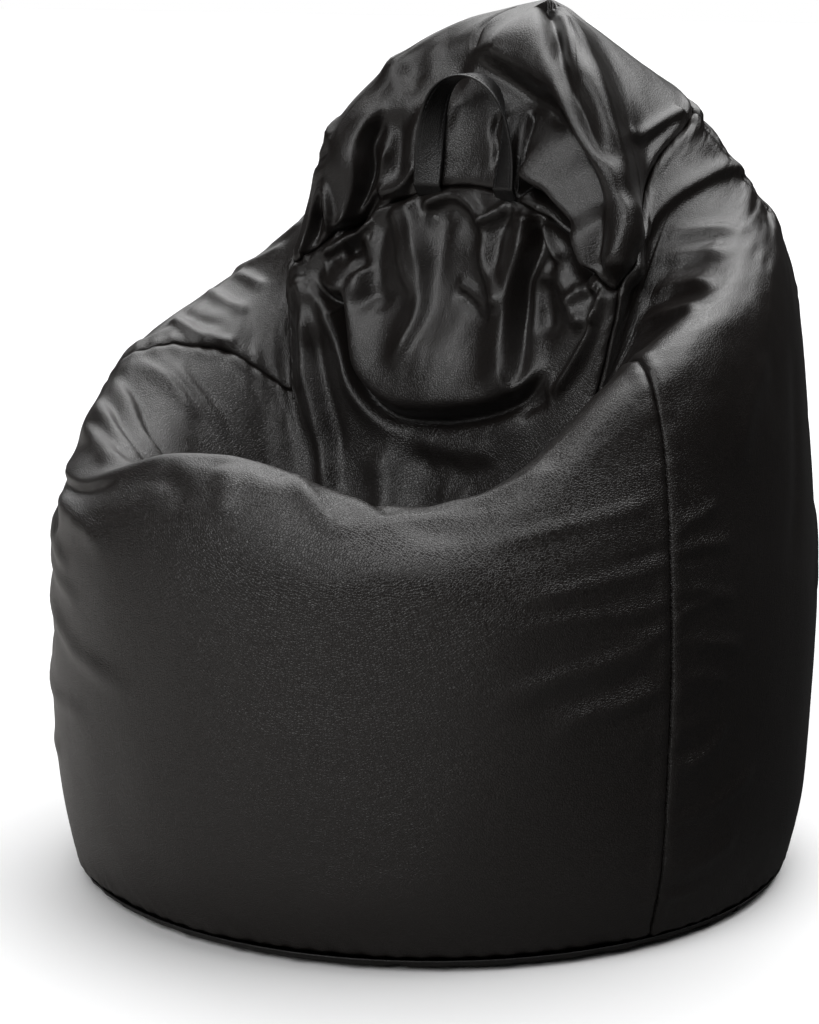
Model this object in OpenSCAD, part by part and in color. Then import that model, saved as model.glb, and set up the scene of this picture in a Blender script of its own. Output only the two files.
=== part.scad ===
// Bean bag chair, pear form, seat pressed in. Base on the floor, seat facing -Y.
// A closed cover of sewn panels holds a zipped inner liner, which holds the beads.

/* [Size] */
// Radius of the seam between walls and base
base_seam_radius = 399; // [380:1:420]
// Largest radius of the wall
girth_radius = 425; // [405:1:450]
// Height of the peak of the hood
peak_height = 945; // [900:1:980]
// Height of the base seam above the floor
base_seam_height = 14; // [10:1:20]

/* [Cover] */
// Thickness of the cover cloth
cover_thickness = 1.6; // [1.0:0.1:2.5]
// Angle of the two front seams from straight ahead
front_seam_angle = 70; // [60:1:76]
// Angle of the two rear seams
rear_seam_angle = 127; // [120:1:135]

/* [Liner and filling] */
// Depth of the liner below the outside of the cover
liner_depth = 5; // [4:0.5:8]
// Thickness of the liner cloth
liner_thickness = 1; // [0.5:0.1:1.5]
// Depth of the beads below the outside of the cover
fill_depth = 8.5; // [7:0.5:12]

/* [Handle] */
// Width of the strap
strap_width = 32; // [25:1:45]
// Thickness of the folded strap
strap_thickness = 3; // [2:0.5:5]
// Distance between the two sewn ends
handle_span = 102; // [80:1:140]
// Height of the loop above the crown seam
handle_rise = 122; // [90:1:150]

/* [Base zip] */
// Half length of the zip opening
slot_half_length = 262; // [200:1:300]
// Half width of the zip opening
slot_half_width = 8; // [6:0.5:12]
// Radius of one zip coil
coil_radius = 1.1; // [0.8:0.1:1.5]
// Where the slider stands along the zip when closed
slider_x = 225; // [180:1:225]

/* [Hidden] */

leather_colour = [0.05, 0.05, 0.055];
liner_colour = [0.86, 0.85, 0.82];
bead_colour = [0.93, 0.94, 0.95];
tape_colour = [0.03, 0.03, 0.03];
metal_colour = [0.62, 0.62, 0.64];

// ---- control lines: meridians from the base seam to the crown seam ----
fs = front_seam_angle;
rs = rear_seam_angle;
meridian_angles = [0, 36, fs, 100, rs, 153, 180];
low_rings = [[base_seam_radius, base_seam_height], [girth_radius - 8, 100],
             [girth_radius, 260], [girth_radius - 4, 390]];
function along(a, b, c) = concat([a], [for (k = [0:7]) b + (c - b) * k / 7]);
upper_lines = [
    // middle of the front: rim, seat, backrest, crown seam
    [[0, -392, 470], [0, -345, 498], [0, -275, 450], [0, -195, 370], [0, -95, 332],
     [0, -20, 400], [0, 5, 520], [0, 35, 640], [0, 66, 744]],
    [[232, -319, 440], [208, -280, 468], [176, -229, 430], [147, -163, 365],
     [120, -85, 345], [112, -25, 410], [115, 0, 520], [118, 25, 630], [115, 50, 715]],
    // front seam: over the arm, along the side of the backrest
    [[377, -130, 495], [350, -118, 555], [312, -88, 565], [265, -45, 530],
     [225, -15, 490], [200, 0, 480], [205, 10, 520], [215, 18, 580], [221, 28, 650]],
    // side: arm crest and the inside of the arm
    [[396, 64, 560], [372, 75, 645], [335, 85, 675], [300, 95, 680], [270, 100, 680],
     [250, 104, 688], [236, 112, 708], [218, 122, 738], [198, 135, 771]],
    along([319, 240, 610], [290, 245, 705], [193, 222, 826]),
    along([182, 356, 630], [166, 335, 735], [105, 285, 850]),
    along([0, 398, 630], [0, 372, 735], [0, 300, 860])];
peak = [0, 225, peak_height];
hood_roundness = [1, 1, 0.9, 0.5, 0.1, 0.1, 0.1];

// Lumps that make the two sides differ:
// angle, row, half widths, lift
lumps = [[fs, 5, 30, 2.6, 30], [fs, 8, 26, 3, 30], [-fs, 5, 30, 2.4, -18],
         [-fs, 8, 24, 2.6, 35], [-100, 5.5, 30, 3, -45], [-rs, 5, 28, 3, -35],
         [106, 4.6, 26, 2.4, -16]];

function hood_point(s, b, a) =
    let (c = b * (1 - cos(a)) + (1 - b) * a / 90, q = b * sin(a) + (1 - b) * a / 90)
    [s[0] + (peak[0] - s[0]) * c, s[1] + (peak[1] - s[1]) * c,
     s[2] + (peak[2] - s[2]) * q];
function meridian(k) =
    let (a = meridian_angles[k], u = upper_lines[k], s = u[8])
    concat([for (r = low_rings) [r[0] * sin(a), -r[0] * cos(a), r[1]]], u,
           [for (h = [30, 60, 90]) hood_point(s, hood_roundness[k], h)]);
meridians = [for (k = [0:6]) meridian(k)];
last_row = 15;

function flip(line) = [for (p = line) [-p[0], p[1], p[2]]];
knots = concat([meridian_angles[5] - 360], [for (k = [6:-1:1]) -meridian_angles[k]],
               meridian_angles, [360 - meridian_angles[5]]);
lines = concat([meridians[5]], [for (k = [6:-1:1]) flip(meridians[k])],
               meridians, [flip(meridians[5])]);

// cubic through the meridians, at one angle: gives every row's point
function span_of(a, k = 1) = (k >= 12 || a < knots[k + 1]) ? k : span_of(a, k + 1);
function slope(k, r) = (lines[k + 1][r] - lines[k - 1][r]) / (knots[k + 1] - knots[k - 1]);
function row_points(a) =
    let (k = span_of(a), h = knots[k + 1] - knots[k], t = (a - knots[k]) / h,
         t2 = t * t, t3 = t2 * t)
    [for (r = [0:last_row])
        (2 * t3 - 3 * t2 + 1) * lines[k][r] + (t3 - 2 * t2 + t) * h * slope(k, r)
        + (3 * t2 - 2 * t3) * lines[k + 1][r] + (t3 - t2) * h * slope(k + 1, r)];
function row_at(p, i) =
    i < 0 ? 2 * p[0] - p[1]
    : i > last_row ? 2 * p[last_row] - p[last_row - 1] : p[i];
function along_rows(p, t) =
    let (i = min(floor(t), last_row - 1), f = t - i, p0 = row_at(p, i - 1),
         p1 = row_at(p, i), p2 = row_at(p, i + 1), p3 = row_at(p, i + 2))
    0.5 * (2 * p1 + (p2 - p0) * f + (2 * p0 - 5 * p1 + 4 * p2 - p3) * f * f
           + (3 * p1 - p0 - 3 * p2 + p3) * f * f * f);
function turn_gap(a, b) = let (d = a - b) d > 180 ? d - 360 : d < -180 ? d + 360 : d;
function dome(u) = abs(u) >= 1 ? 0 : pow(1 - u * u, 2);
function lift(a, t) = [0, 0, lump_sum(a, t, 0)];
function lump_sum(a, t, n) = n >= len(lumps) ? 0
    : let (l = lumps[n])
      l[4] * dome(turn_gap(a, l[0]) / l[2]) * dome((t - l[1]) / l[3])
      + lump_sum(a, t, n + 1);

// ---- the grid: columns run round the bag, rows run up it ----
back_steps = 9;
side_steps = 10;
front_steps = 22;
columns = concat(
    [for (k = [0:back_steps - 1]) -180 + k * (180 - rs) / back_steps],
    [for (k = [0:side_steps - 1]) -rs + k * (rs - fs) / side_steps],
    [for (k = [0:front_steps - 1]) -fs + k * 2 * fs / front_steps],
    [for (k = [0:side_steps - 1]) fs + k * (rs - fs) / side_steps],
    [for (k = [0:back_steps - 1]) rs + k * (180 - rs) / back_steps]);
n_col = len(columns);
c_right_rear = back_steps;
c_right_front = back_steps + side_steps;
c_left_front = c_right_front + front_steps;
c_left_rear = c_left_front + side_steps;
rows_per_unit = 2;
n_row = last_row * rows_per_unit;
seam_row = 12 * rows_per_unit;

column_points = [for (a = columns) row_points(a)];
grid = [for (i = [0:n_row]) [for (j = [0:n_col - 1])
    let (t = i / rows_per_unit) along_rows(column_points[j], t) + lift(columns[j], t)]];
function at(i, j) = grid[min(max(i, 0), n_row)][(j + n_col) % n_col];
function unit(v) = v / max(norm(v), 0.000001);
normals = [for (i = [0:n_row - 1]) [for (j = [0:n_col - 1])
    unit(cross(at(i, j + 1) - at(i, j - 1), at(i + 1, j) - at(i - 1, j)))]];
function inset(i, j, d) = at(i, j) - d * normals[i][(j + n_col) % n_col];

// a patch of sheet between two depths below the outside
module sheet(i0, i1, j0, j1, near, far) {
    m = i1 - i0 + 1;
    n = j1 - j0 + 1;
    pts = concat([for (i = [i0:i1]) for (j = [j0:j1]) inset(i, j, near)],
                 [for (i = [i0:i1]) for (j = [j0:j1]) inset(i, j, far)]);
    h = m * n;
    outer = [for (i = [0:m - 2]) for (j = [0:n - 2]) let (a = i * n + j)
        each [[a, a + n, a + n + 1], [a, a + n + 1, a + 1]]];
    inner = [for (f = outer) [f[2] + h, f[1] + h, f[0] + h]];
    rim = concat([for (j = [0:n - 2]) j], [for (i = [0:m - 2]) i * n + n - 1],
                 [for (j = [n - 1:-1:1]) (m - 1) * n + j], [for (i = [m - 1:-1:1]) i * n]);
    k = len(rim);
    // both neighbours of a seam split its edge along the same diagonals
    edge = [for (q = [0:k - 1]) let (a = rim[q], b = rim[(q + 1) % k])
        each q < m + n - 2 ? [[a, b, b + h], [a, b + h, a + h]]
                           : [[a, b, a + h], [b, b + h, a + h]]];
    polyhedron(points = pts, faces = concat(outer, inner, edge), convexity = 12);
}

function ring_faces(m, off) = [for (i = [0:m - 2]) for (j = [0:n_col - 1])
    let (a = off + i * n_col + j, b = off + i * n_col + (j + 1) % n_col)
    each [[a, a + n_col, b + n_col], [a, b + n_col, b]]];
function cap_faces(m, off, top) = [for (j = [0:n_col - 1])
    [off + (m - 1) * n_col + j, top, off + (m - 1) * n_col + (j + 1) % n_col]];

// the cap: a full ring of sheet closed at the peak
module cap_sheet(i0, near, far) {
    m = n_row - i0;
    h = m * n_col;
    pts = concat([for (i = [i0:n_row - 1]) for (j = [0:n_col - 1]) inset(i, j, near)],
                 [for (i = [i0:n_row - 1]) for (j = [0:n_col - 1]) inset(i, j, far)],
                 [peak - [0, 0, near], peak - [0, 0, far]]);
    skin = concat(ring_faces(m, 0), cap_faces(m, 0, 2 * h));
    lining = [for (f = concat(ring_faces(m, h), cap_faces(m, h, 2 * h + 1)))
        [f[2], f[1], f[0]]];
    edge = [for (j = [0:n_col - 1]) let (a = j, b = (j + 1) % n_col)
        each [[a, b, b + h], [a, b + h, a + h]]];
    polyhedron(points = pts, faces = concat(skin, lining, edge), convexity = 12);
}

// the whole form as one closed solid with a flat floor
module closed_form(depth, floor_z) {
    h = n_row * n_col;
    pts = concat([for (i = [0:n_row - 1]) for (j = [0:n_col - 1]) inset(i, j, depth)],
                 [for (j = [0:n_col - 1]) let (p = inset(0, j, depth))
                     [p[0] * 0.93, p[1] * 0.93, floor_z]],
                 [peak - [0, 0, depth], [0, 0, floor_z]]);
    body = concat(ring_faces(n_row, 0), cap_faces(n_row, 0, h + n_col));
    hem = [for (j = [0:n_col - 1]) let (a = h + j, b = h + (j + 1) % n_col,
                                        c = j, d = (j + 1) % n_col)
        each [[a, c, d], [a, d, b]]];
    under = [for (j = [0:n_col - 1]) [h + j, h + (j + 1) % n_col, h + n_col + 1]];
    polyhedron(points = pts, faces = concat(body, hem, under), convexity = 12);
}

// ---- cover ----
module cover_sheet(j0, j1) {
    color(leather_colour) sheet(0, seam_row, j0, j1, 0, cover_thickness);
}
module front_panel() { cover_sheet(c_right_front, c_left_front); }
module left_side_panel() { cover_sheet(c_left_front, c_left_rear); }
module right_side_panel() { cover_sheet(c_right_rear, c_right_front); }
module left_back_panel() { cover_sheet(c_left_rear, n_col); }
module right_back_panel() { cover_sheet(0, c_right_rear); }
module crown_cap() { color(leather_colour) cap_sheet(seam_row, 0, cover_thickness); }

// base: flat underneath, its margin turned up to meet the walls
flat_radius = 335;
hem_height = 4.5;
module base_disc() {
    t = cover_thickness;
    rim = base_seam_height - 0.2;
    rotate_extrude($fn = 72) polygon([
        [0, 0], [flat_radius, 0], [362, 1.5], [382, 5.2], [393, 9.6],
        [base_seam_radius, rim], [base_seam_radius - 2.4, rim],
        [391, 9.6 + 1.4], [381, 5.2 + t], [361.5, 1.5 + t], [flat_radius, t], [0, t]]);
}
module base_half(side) {
    half = base_seam_radius + 10;
    color(leather_colour) intersection() {
        difference() {
            union() {
                base_disc();
                // turned edge round the opening
                translate([-slot_half_length - 5, -slot_half_width - 5, cover_thickness / 2])
                    cube([2 * slot_half_length + 10, 2 * slot_half_width + 10,
                          hem_height - cover_thickness / 2]);
            }
            translate([-slot_half_length, -slot_half_width, -1])
                cube([2 * slot_half_length, 2 * slot_half_width, hem_height + 2]);
        }
        translate([-half, side > 0 ? 0.05 : -half, -1]) cube([2 * half, half - 0.05, 40]);
    }
}
module base_panel_front() { base_half(-1); }
module base_panel_back() { base_half(1); }

// ---- carry handle: a strap sewn into the crown seam at both ends ----
hinge_y = 54;
hinge_z = 741;
handle_x = 4;
strap_steps = 36;
// angle along the loop: 0 at one end, 180 at the other
function strap_centre(u) =
    let (w = handle_span / 2 + 6 * sin(u), up = handle_rise * pow(sin(u), 0.62))
    [handle_x + w * cos(u), hinge_y - 1 + 0.17 * up - 15 * pow(sin(u), 1.5),
     hinge_z + 3 + up];
// across the strap: flat to the hood at the ends, edge on at the top
function strap_across(u) = let (q = 14 + 74 * pow(sin(u), 0.8))
    [cos(u) >= 0 ? cos(q) : -cos(q), -sin(q), 0];
module carry_handle() {
    color(leather_colour) {
        us = [for (k = [0:strap_steps]) 180 * k / strap_steps];
        pts = [for (k = [0:strap_steps]) let (u = us[k], c = strap_centre(u),
                t = unit(strap_centre(min(u + 1, 180)) - strap_centre(max(u - 1, 0))),
                w0 = strap_across(u), w = unit(w0 - t * (w0 * t)), n = unit(cross(t, w)),
                a = strap_width / 2, b = strap_thickness / 2)
            each [c - a * w - b * n, c + a * w - b * n,
                  c + a * w + b * n, c - a * w + b * n]];
        sides = [for (k = [0:strap_steps - 1]) for (q = [0:3])
            let (a = 4 * k + q, b = 4 * k + (q + 1) % 4)
            each [[a, b, b + 4], [a, b + 4, a + 4]]];
        e = 4 * strap_steps;
        polyhedron(points = pts, faces = concat(sides,
            [[0, 3, 2], [0, 2, 1], [e, e + 1, e + 2], [e, e + 2, e + 3]]), convexity = 6);
    }
}
mid_col = c_right_front + front_steps / 2;
module tail(j0) {
    color(leather_colour)
        sheet(seam_row, seam_row + 1, j0, j0 + 1, cover_thickness + 0.2, liner_depth - 0.4);
}
module handle_tail_left() { tail(mid_col + 2); }
module handle_tail_right() { tail(mid_col - 3); }

// ---- base zip ----
coil_z = 4.9;
coil_gap = 0.8;
coil_y = coil_gap + coil_radius;
tape_inner = coil_y + coil_radius + 0.05;
tape_outer = 15;
stop_x = 248;
module zip_tape(y0, z0, inner, outer, len_x, t) {
    color(tape_colour) translate([-len_x, y0 + inner, z0]) cube([2 * len_x, outer - inner, t]);
}
module coil(y0, z0, r, len_x) {
    color(tape_colour) translate([-len_x, y0, z0]) rotate([0, 90, 0])
        cylinder(h = 2 * len_x, r = r, $fn = 24);
}
module zip_tape_front() { mirror([0, 1, 0]) zip_tape_back(); }
module zip_tape_back() {
    zip_tape(0, hem_height + 0.1, tape_inner, tape_outer, slot_half_length + 4, 0.6);
}
module zip_coil_front() { coil(-coil_y, coil_z, coil_radius, stop_x - 2.1); }
module zip_coil_back() { coil(coil_y, coil_z, coil_radius, stop_x - 2.1); }
module zip_stop(x) {
    color(metal_colour) translate([x - 2, -4, coil_z - 1.6]) difference() {
        cube([4, 8, 3.2]);
        // groove for the tapes
        translate([-1, -1, 1.1]) cube([6, 2.2, 1]);
        translate([-1, 6.8, 1.1]) cube([6, 2.2, 1]);
    }
}
module zip_top_stop() { zip_stop(stop_x); }
module zip_bottom_stop() { zip_stop(-stop_x); }
pin_z = 1.2;
pin_radius = 0.4;
module slider_body(y0, lower_z, upper_z, post) {
    translate([-5, y0 - 4.2, lower_z]) cube([10, 8.4, 1]);
    translate([-5, y0 - 4.2, upper_z]) cube([10, 8.4, 0.8]);
    translate([-3, y0 - post, lower_z + 0.5]) cube([6, 2 * post, upper_z - lower_z]);
}
module zip_slider() {
    color(metal_colour) translate([slider_x, 0, 0]) {
        slider_body(0, coil_z - coil_radius - 1.3, coil_z + coil_radius + 0.3, 0.5);
        for (s = [-1, 1]) translate([-1.2, s * 2.1 - 0.3, 0.4]) cube([2.4, 0.6, 2.3]);
        translate([0, -2, pin_z]) rotate([-90, 0, 0])
            cylinder(h = 4, r = pin_radius, $fn = 24);
    }
}
module zip_pull() {
    color(metal_colour) translate([slider_x, 0, 0]) difference() {
        union() {
            translate([0, -1.45, pin_z]) rotate([-90, 0, 0])
                cylinder(h = 2.9, r = 0.85, $fn = 32);
            translate([-9, -1.45, pin_z - 0.5]) cube([9, 2.9, 1]);
            translate([-26, -3, pin_z - 0.5]) cube([18, 6, 1]);
        }
        translate([0, -2, pin_z]) rotate([-90, 0, 0])
            cylinder(h = 4, r = pin_radius + 0.05, $fn = 32);
        translate([-22.5, 0, -1]) cylinder(h = 5, r = 1.4, $fn = 24);
    }
}

// ---- inner liner ----
module liner_sheet(j0, j1) {
    color(liner_colour) sheet(0, n_row - 1, j0, j1, liner_depth, liner_depth + liner_thickness);
}
module liner_front() { liner_sheet(c_right_rear, c_left_rear); }
module liner_back() { liner_sheet(c_left_rear, n_col + c_right_rear); }
liner_zip_y = 70;
liner_z = 9;
liner_slot_half = 240;
module liner_base() {
    color(liner_colour) difference() {
        rotate_extrude($fn = 72) polygon([
            [0, liner_z], [372, liner_z], [390, base_seam_height],
            [389, base_seam_height + 0.9], [371, liner_z + 1], [0, liner_z + 1]]);
        translate([-liner_slot_half, liner_zip_y - 6, liner_z - 1])
            cube([2 * liner_slot_half, 12, 3]);
    }
}
liner_coil_r = 0.9;
liner_coil_y = 1.6;
liner_coil_z = liner_z + 1.35;
module liner_zip_tape_back() {
    zip_tape(liner_zip_y, liner_z + 1.05, liner_coil_y + liner_coil_r + 0.05, 12,
             liner_slot_half + 4, 0.5);
}
module liner_zip_tape_front() {
    translate([0, 2 * liner_zip_y, 0]) mirror([0, 1, 0]) liner_zip_tape_back();
}
module liner_zip_coil_front() {
    coil(liner_zip_y - liner_coil_y, liner_coil_z, liner_coil_r, liner_slot_half - 4);
}
module liner_zip_coil_back() {
    coil(liner_zip_y + liner_coil_y, liner_coil_z, liner_coil_r, liner_slot_half - 4);
}
module liner_zip_slider() {
    color(metal_colour) translate([slider_x, 0, 0])
        slider_body(liner_zip_y, liner_coil_z - liner_coil_r - 1.3,
                    liner_coil_z + liner_coil_r + 0.3, 0.4);
}

// ---- filling ----
module bead_filling() { color(bead_colour) closed_form(fill_depth, 14.5); }

front_panel();
left_side_panel();
right_side_panel();
left_back_panel();
right_back_panel();
crown_cap();
base_panel_front();
base_panel_back();
carry_handle();
handle_tail_left();
handle_tail_right();
zip_tape_front();
zip_tape_back();
zip_coil_front();
zip_coil_back();
zip_top_stop();
zip_bottom_stop();
zip_slider();
zip_pull();
liner_front();
liner_back();
liner_base();
liner_zip_tape_front();
liner_zip_tape_back();
liner_zip_coil_front();
liner_zip_coil_back();
liner_zip_slider();
bead_filling();
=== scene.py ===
import math
import bpy
import numpy as np
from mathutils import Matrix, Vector


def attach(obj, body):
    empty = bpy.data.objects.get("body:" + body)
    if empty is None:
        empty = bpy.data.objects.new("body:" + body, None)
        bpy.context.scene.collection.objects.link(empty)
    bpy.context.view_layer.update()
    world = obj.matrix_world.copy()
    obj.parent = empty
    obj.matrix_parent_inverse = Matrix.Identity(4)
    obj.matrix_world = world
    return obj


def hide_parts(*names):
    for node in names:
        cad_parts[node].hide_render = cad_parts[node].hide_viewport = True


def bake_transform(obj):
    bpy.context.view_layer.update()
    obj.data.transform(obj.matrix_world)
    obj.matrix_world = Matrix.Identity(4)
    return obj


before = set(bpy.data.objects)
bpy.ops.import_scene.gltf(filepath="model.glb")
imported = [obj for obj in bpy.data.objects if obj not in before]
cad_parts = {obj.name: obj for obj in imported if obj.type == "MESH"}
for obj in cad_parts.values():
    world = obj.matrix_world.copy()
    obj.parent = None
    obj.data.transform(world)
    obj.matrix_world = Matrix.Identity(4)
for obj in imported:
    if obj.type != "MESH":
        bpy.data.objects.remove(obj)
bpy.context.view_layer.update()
MM = 0.001                          # metres in a millimetre
rng = np.random.default_rng(11)     # the folds' small waver, drawn in the order of the folds

# ------------------------------------------------------------------
# The bag's form: the same control lines as the CAD, in millimetres.
# th is the angle round the bag in degrees, 0 at the front and positive to +X.
# t counts rows upward: 0 base seam, 12 crown seam, 15 peak of the hood.
# ------------------------------------------------------------------
FS, RS = 70.0, 127.0                # front and rear side seams
KNOT = np.array([0, 36, FS, 100, RS, 153, 180.0])
LOW = [(399, 14), (417, 100), (425, 260), (421, 390)]       # radius, height of the wall
LAST = 15
SEAM_T = 12.0
HOOD_STEPS = (30, 60, 90)           # degrees of the arc from the crown seam to the peak


def along(a, b, c):
    """A line up the back: one point, then eight even ones."""
    a, b, c = map(np.array, (a, b, c))
    return [a] + [b + (c - b) * k / 7 for k in range(8)]


# rows 4 to 12 at each knot, from the wall over the rim, through the seat, up the backrest
UPPER = [
    [(0, -392, 470), (0, -345, 498), (0, -275, 450), (0, -195, 370), (0, -95, 332),
     (0, -20, 400), (0, 5, 520), (0, 35, 640), (0, 66, 744)],
    [(232, -319, 440), (208, -280, 468), (176, -229, 430), (147, -163, 365), (120, -85, 345),
     (112, -25, 410), (115, 0, 520), (118, 25, 630), (115, 50, 715)],
    [(377, -130, 495), (350, -118, 555), (312, -88, 565), (265, -45, 530), (225, -15, 490),
     (200, 0, 480), (205, 10, 520), (215, 18, 580), (221, 28, 650)],
    [(396, 64, 560), (372, 75, 645), (335, 85, 675), (300, 95, 680), (270, 100, 680),
     (250, 104, 688), (236, 112, 708), (218, 122, 738), (198, 135, 771)],
    along([319, 240, 610], [290, 245, 705], [193, 222, 826]),
    along([182, 356, 630], [166, 335, 735], [105, 285, 850]),
    along([0, 398, 630], [0, 372, 735], [0, 300, 860]),
]
PEAK = np.array([0, 225, 945.0])
ROUNDNESS = [1, 1, 0.9, 0.5, 0.1, 0.1, 0.1]
# angle, row, half widths in degrees and rows, rise
LUMPS = [(FS, 5, 30, 2.6, 30), (FS, 8, 26, 3, 30), (-FS, 5, 30, 2.4, -18),
         (-FS, 8, 24, 2.6, 35), (-100, 5.5, 30, 3, -45), (-RS, 5, 28, 3, -35),
         (106, 4.6, 26, 2.4, -16)]


def meridian(k):
    a = math.radians(KNOT[k])
    line = [(r * math.sin(a), -r * math.cos(a), z) for r, z in LOW] + list(UPPER[k])
    s, b = np.array(line[-1], float), ROUNDNESS[k]
    for h in HOOD_STEPS:
        c = b * (1 - math.cos(math.radians(h))) + (1 - b) * h / 90
        q = b * math.sin(math.radians(h)) + (1 - b) * h / 90
        line.append((s[0] + (PEAK[0] - s[0]) * c, s[1] + (PEAK[1] - s[1]) * c,
                     s[2] + (PEAK[2] - s[2]) * q))
    return np.array(line, float)


HALF = np.array([meridian(k) for k in range(len(KNOT))])
FLIPPED = HALF * np.array([-1, 1, 1])
XK = np.concatenate([[KNOT[5] - 360], -KNOT[:0:-1], KNOT, [360 - KNOT[5]]])
LINES = np.concatenate([[HALF[5]], FLIPPED[:0:-1], HALF, [FLIPPED[5]]])


def dome(u):
    """1 at the middle, 0 from u = 1 outward."""
    return np.clip(1 - u * u, 0, None) ** 2


def turn(a, b):
    """The signed angle from b to a, in degrees."""
    return (a - b + 180) % 360 - 180


def row_points(th):
    """Every row's control point at the angles th: rows x angles x 3."""
    a = (np.asarray(th, float) + 180) % 360 - 180
    k = np.clip(np.searchsorted(XK, a, side="right") - 1, 1, len(XK) - 3)
    h = XK[k + 1] - XK[k]
    u = ((a - XK[k]) / h)[:, None, None]
    h = h[:, None, None]
    m0 = (LINES[k + 1] - LINES[k - 1]) / (XK[k + 1] - XK[k - 1])[:, None, None]
    m1 = (LINES[k + 2] - LINES[k]) / (XK[k + 2] - XK[k])[:, None, None]
    p = ((2 * u**3 - 3 * u**2 + 1) * LINES[k] + (u**3 - 2 * u**2 + u) * h * m0
         + (3 * u**2 - 2 * u**3) * LINES[k + 1] + (u**3 - u**2) * h * m1)
    return np.transpose(p, (1, 0, 2))


def blend_rows(rows, t, pick=None):
    """A smooth curve through the rows at t: every angle, or pick's own one."""
    n = len(rows)
    ext = np.concatenate([[2 * rows[0] - rows[1]], rows, [2 * rows[-1] - rows[-2]]])
    i = np.clip(np.floor(t).astype(int), 0, n - 2)
    f = t - i
    if pick is None:
        f = f[:, None, None]
        g = [ext[i + q] for q in range(4)]
    else:
        f = f[:, None]
        g = [ext[i + q, pick] for q in range(4)]
    p0, p1, p2, p3 = g
    return 0.5 * (2 * p1 + (p2 - p0) * f + (2 * p0 - 5 * p1 + 4 * p2 - p3) * f**2
                  + (3 * p1 - p0 - 3 * p2 + p3) * f**3)


def lumps(th, t):
    z = 0
    for a, r, wa, wr, up in LUMPS:
        z = z + up * dome(turn(th, a) / wa) * dome((t - r) / wr)
    return z


def at(th, t):
    """Points of the smooth form at paired angles and rows."""
    th, t = np.asarray(th, float), np.asarray(t, float)
    p = blend_rows(row_points(th), t, np.arange(len(th)))
    p[:, 2] += lumps(th, t)
    return p


# ------------------------------------------------------------------
# The fine grid
# ------------------------------------------------------------------
def spread(stops, counts):
    parts = [np.linspace(a, b, n + 1)[:-1] for a, b, n in zip(stops, stops[1:], counts)]
    return np.concatenate(parts)


COL_COUNTS = [60, 84, 290, 100, 60]         # columns in each panel, from the centre back
ROW_COUNTS = [24, 34, 30, 34, 20, 26, 24, 20, 20, 22, 26, 26, 26, 24, 20]
COLS = spread([-180, -RS, -FS, FS, RS, 180], COL_COUNTS)
NC = len(COLS)
CUT = [0, *np.cumsum(COL_COUNTS).tolist()]  # the seams' columns
ROWS = np.append(spread(list(range(LAST + 1)), ROW_COUNTS), float(LAST))
NR = len(ROWS)
SEAM_I = int(np.searchsorted(ROWS, SEAM_T))

TT, HH = np.meshgrid(ROWS, COLS, indexing="ij")
BASE = blend_rows(row_points(COLS), ROWS)
BASE[..., 2] += lumps(HH, TT)


def grid_normals(p):
    du = np.roll(p, -1, 1) - np.roll(p, 1, 1)
    dv = np.empty_like(p)
    dv[1:-1] = p[2:] - p[:-2]
    dv[0] = p[1] - p[0]
    dv[-1] = p[-1] - p[-2]
    n = np.cross(du, dv)
    n /= np.linalg.norm(n, axis=-1, keepdims=True) + 1e-9
    n[-1] = (0, 0, 1)
    return n


def soften(p):
    q = p.copy()
    q[1:-1] = (p[1:-1] * 4 + p[2:] + p[:-2] + np.roll(p, 1, 1)[1:-1]
               + np.roll(p, -1, 1)[1:-1]) / 8
    return q


NORMAL = grid_normals(BASE)
STEP_TH = np.linalg.norm(np.roll(BASE, -1, 1) - np.roll(BASE, 1, 1), axis=-1)
SPAN_TH = np.abs(turn(np.roll(HH, -1, 1), np.roll(HH, 1, 1)))
PER_DEG = STEP_TH / SPAN_TH         # millimetres in a degree, along the row
MOVE = np.zeros_like(BASE)          # what the folds and swellings add
FLATB = BASE.reshape(-1, 3)
FLATN = NORMAL.reshape(-1, 3)


def curve(path, n):
    """n points of a smooth curve through the path."""
    p = np.array(path, float)
    ext = np.concatenate([[2 * p[0] - p[1]], p, [2 * p[-1] - p[-2]]])
    u = np.linspace(0, len(p) - 1, n)
    i = np.minimum(u.astype(int), len(p) - 2)
    f = (u - i)[:, None]
    a, b, c, d = (ext[i + q] for q in range(4))
    return 0.5 * (2 * b + (c - a) * f + (2 * a - 5 * b + 4 * c - d) * f**2
                  + (3 * b - a - 3 * c + d) * f**3)


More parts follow.
